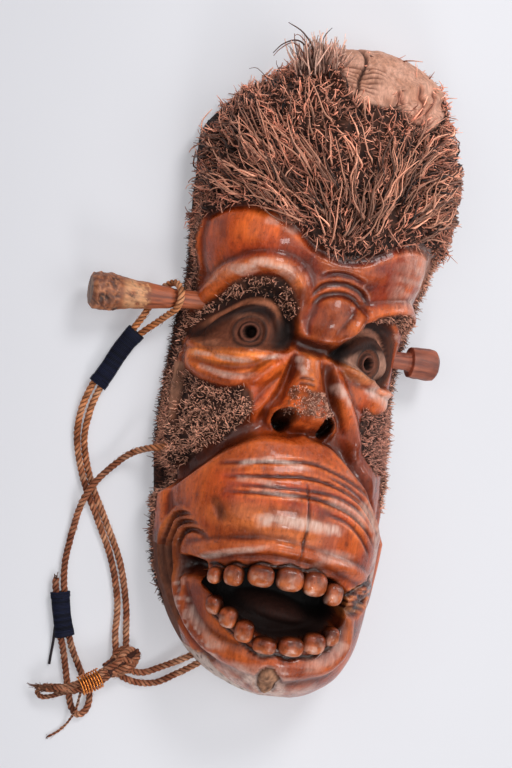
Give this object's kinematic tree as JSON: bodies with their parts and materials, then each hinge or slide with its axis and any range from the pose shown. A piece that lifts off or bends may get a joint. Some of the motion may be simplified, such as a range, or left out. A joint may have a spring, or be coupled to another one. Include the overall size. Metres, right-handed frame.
{
  "type": "monkey head carving",
  "caption": "Monkey face carved from a bamboo root, with rootlet hair, open toothed mouth, hollow back, wooden side pegs and a looped fibre cord.",
  "frame": {"origin": "on the floor under the middle of the head and its two pegs, measured without the cord and what is tied on it", "axes": "+Z out of the face, away from the flat back; +Y from the chin to the crown; +X to the right as the face is seen"},
  "size_m": [0.2531, 0.5042, 0.1017],
  "materials": {
    "varnished_root": "glossy varnish on the face, bare rootlets as hair",
    "peg_wood": "bare branch wood with some bark",
    "cord_fibre": "twisted plant fibre",
    "navy_thread": "close thread turns",
    "copper_wire": "bare wire turns"
  },
  "bodies": {
    "root": {"head": "varnished_root", "left_peg": "peg_wood", "right_peg": "peg_wood", "peg_cord": "cord_fibre", "cheek_cord": "cord_fibre", "chin_cord": "cord_fibre", "hitch_knot": "cord_fibre", "cord_end_bundle": "cord_fibre", "loose_tail": "cord_fibre", "upper_whipping": "navy_thread", "lower_whipping": "navy_thread", "wire_binding": "copper_wire"}
  },
  "joints": []
}
